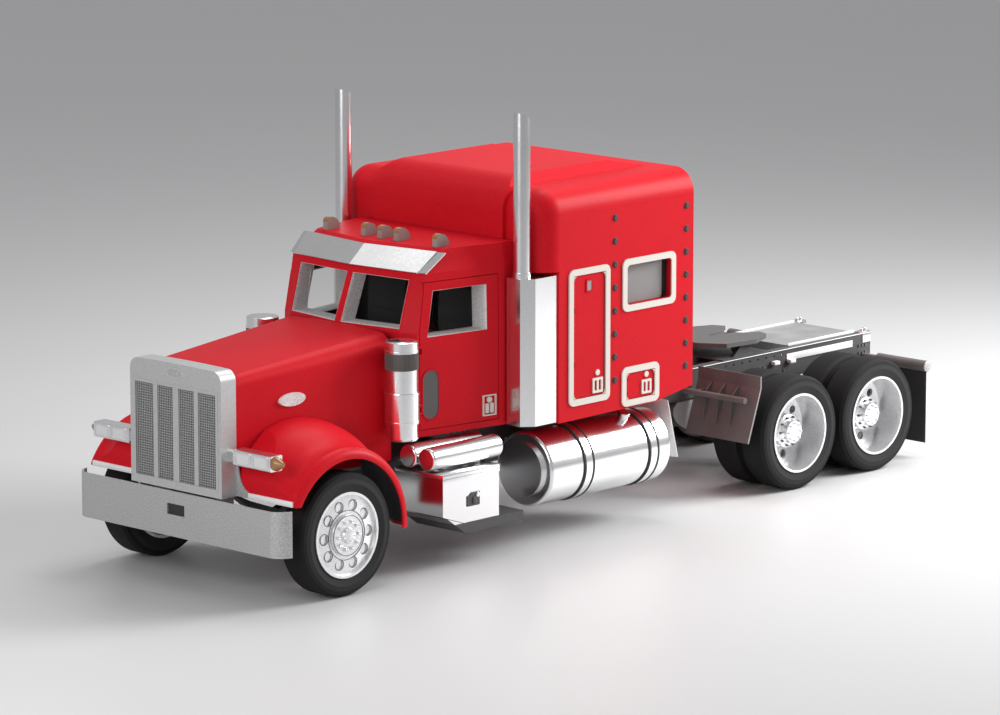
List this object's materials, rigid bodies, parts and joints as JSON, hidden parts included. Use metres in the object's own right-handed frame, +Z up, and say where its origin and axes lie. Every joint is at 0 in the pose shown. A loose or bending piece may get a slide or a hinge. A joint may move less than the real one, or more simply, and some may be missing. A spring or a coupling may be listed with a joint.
{
  "type": "semi truck tractor unit",
  "caption": "Long-nose semi truck tractor unit with a walk-in sleeper, tilting hood, opening doors, steered front wheels, twin drive wheels and a tilting fifth wheel.",
  "frame": {"origin": "on the ground at mid length and mid width", "axes": "+X forward, +Y to the driver's left, +Z up; the wheels turn about Y"},
  "size_m": [8.52, 2.556, 3.797],
  "materials": {
    "red_paint": "deep gloss",
    "silver_plate": "speckled grey sheen",
    "bright_metal": "polished",
    "wheel_metal": "brushed",
    "cast_grey": "cast",
    "chassis_black": "satin black",
    "grey_plastic": "matt",
    "black_rubber": "matt",
    "tyre_rubber": "smooth matt",
    "clear_glass": "clear",
    "amber_lamp": "clear lens",
    "dark_trim": "soft",
    "seat_cloth": "woven"
  },
  "bodies": {
    "chassis": {"frame": "chassis_black", "bumper": "silver_plate", "engine": "cast_grey", "front_axle": "chassis_black", "drive_axles": "chassis_black", "step_boxes": "bright_metal", "fuel_tanks": "bright_metal", "tank_straps": "bright_metal", "air_tanks": "bright_metal", "air_cleaners": "bright_metal", "exhausts": "bright_metal", "quarter_fenders": "grey_plastic", "mudflap_hangers": "bright_metal", "mudflaps": "black_rubber", "rear_deck": "silver_plate", "fifth_wheel_base": "chassis_black", "cab_shell": "red_paint", "sleeper_shell": "red_paint", "cab_glass": "clear_glass", "sun_visor": "silver_plate", "roof_lights": "amber_lamp", "dashboard": "dark_trim", "seats_and_bunk": "seat_cloth", "side_frames": "silver_plate"},
    "hood": {"hood": "red_paint", "grille_shell": "silver_plate", "grille_mesh": "silver_plate", "headlamp_pods": "bright_metal"},
    "coupling_plate": {"fifth_wheel_plate": "cast_grey"},
    "cab_door_left": {"cab_door_left": "red_paint", "door_glass_left": "clear_glass"},
    "tall_door_left": {"tall_door_left": "red_paint"},
    "low_door_left": {"low_door_left": "red_paint"},
    "knuckle_left": {"knuckle_left": "cast_grey"},
    "front_wheel_left": {"front_tyre_left": "tyre_rubber", "front_rim_left": "wheel_metal"},
    "drive_wheels_1_left": {"drive_tyres_1_left": "tyre_rubber", "drive_rims_1_left": "wheel_metal"},
    "drive_wheels_2_left": {"drive_tyres_2_left": "tyre_rubber", "drive_rims_2_left": "wheel_metal"},
    "cab_door_right": {"cab_door_right": "red_paint", "door_glass_right": "clear_glass"},
    "tall_door_right": {"tall_door_right": "red_paint"},
    "low_door_right": {"low_door_right": "red_paint"},
    "knuckle_right": {"knuckle_right": "cast_grey"},
    "front_wheel_right": {"front_tyre_right": "tyre_rubber", "front_rim_right": "wheel_metal"},
    "drive_wheels_1_right": {"drive_tyres_1_right": "tyre_rubber", "drive_rims_1_right": "wheel_metal"},
    "drive_wheels_2_right": {"drive_tyres_2_right": "tyre_rubber", "drive_rims_2_right": "wheel_metal"}
  },
  "joints": [
    {"name": "hood_tilt", "type": "hinge", "parent": "chassis", "child": "hood", "pos_m": [4.198, 0, 0.872], "axis": [0, 1, 0], "range_deg": [0, 70]},
    {"name": "coupling_tilt", "type": "hinge", "parent": "chassis", "child": "coupling_plate", "pos_m": [-2.49, 0, 1.15], "axis": [0, 1, 0], "range_deg": [-12, 12]},
    {"name": "cab_door_left_swing", "type": "hinge", "parent": "chassis", "child": "cab_door_left", "pos_m": [2.166, 0.814, 1.7], "axis": [0, 0, -1], "range_deg": [0, 65]},
    {"name": "tall_door_left_swing", "type": "hinge", "parent": "chassis", "child": "tall_door_left", "pos_m": [0.713, 1.232, 1.8], "axis": [0, 0, -1], "range_deg": [0, 90]},
    {"name": "low_door_left_swing", "type": "hinge", "parent": "chassis", "child": "low_door_left", "pos_m": [0.035, 1.232, 1.28], "axis": [0, 0, -1], "range_deg": [0, 90]},
    {"name": "steer_left", "type": "hinge", "parent": "chassis", "child": "knuckle_left", "pos_m": [3.48, 0.915, 0.521], "axis": [0, 0, 1], "range_deg": [-35, 35]},
    {"name": "front_wheel_left_spin", "type": "hinge", "parent": "knuckle_left", "child": "front_wheel_left", "pos_m": [3.48, 1.098, 0.521], "axis": [0, 1, 0], "continuous": true},
    {"name": "drive_wheels_1_left_spin", "type": "hinge", "parent": "chassis", "child": "drive_wheels_1_left", "pos_m": [-2.282, 0.943, 0.521], "axis": [0, 1, 0], "continuous": true},
    {"name": "drive_wheels_2_left_spin", "type": "hinge", "parent": "chassis", "child": "drive_wheels_2_left", "pos_m": [-3.387, 0.943, 0.521], "axis": [0, 1, 0], "continuous": true},
    {"name": "cab_door_right_swing", "type": "hinge", "parent": "chassis", "child": "cab_door_right", "pos_m": [2.166, -0.814, 1.7], "axis": [0, 0, 1], "range_deg": [0, 65]},
    {"name": "tall_door_right_swing", "type": "hinge", "parent": "chassis", "child": "tall_door_right", "pos_m": [0.713, -1.232, 1.8], "axis": [0, 0, 1], "range_deg": [0, 90]},
    {"name": "low_door_right_swing", "type": "hinge", "parent": "chassis", "child": "low_door_right", "pos_m": [0.035, -1.232, 1.28], "axis": [0, 0, 1], "range_deg": [0, 90]},
    {"name": "steer_right", "type": "hinge", "parent": "chassis", "child": "knuckle_right", "pos_m": [3.48, -0.915, 0.521], "axis": [0, 0, 1], "range_deg": [-35, 35]},
    {"name": "front_wheel_right_spin", "type": "hinge", "parent": "knuckle_right", "child": "front_wheel_right", "pos_m": [3.48, -1.098, 0.521], "axis": [0, 1, 0], "continuous": true},
    {"name": "drive_wheels_1_right_spin", "type": "hinge", "parent": "chassis", "child": "drive_wheels_1_right", "pos_m": [-2.282, -0.943, 0.521], "axis": [0, 1, 0], "continuous": true},
    {"name": "drive_wheels_2_right_spin", "type": "hinge", "parent": "chassis", "child": "drive_wheels_2_right", "pos_m": [-3.387, -0.943, 0.521], "axis": [0, 1, 0], "continuous": true}
  ],
  "couplings": [
    {"joint": "steer_right", "follows": "steer_left", "ratio": 1}
  ]
}
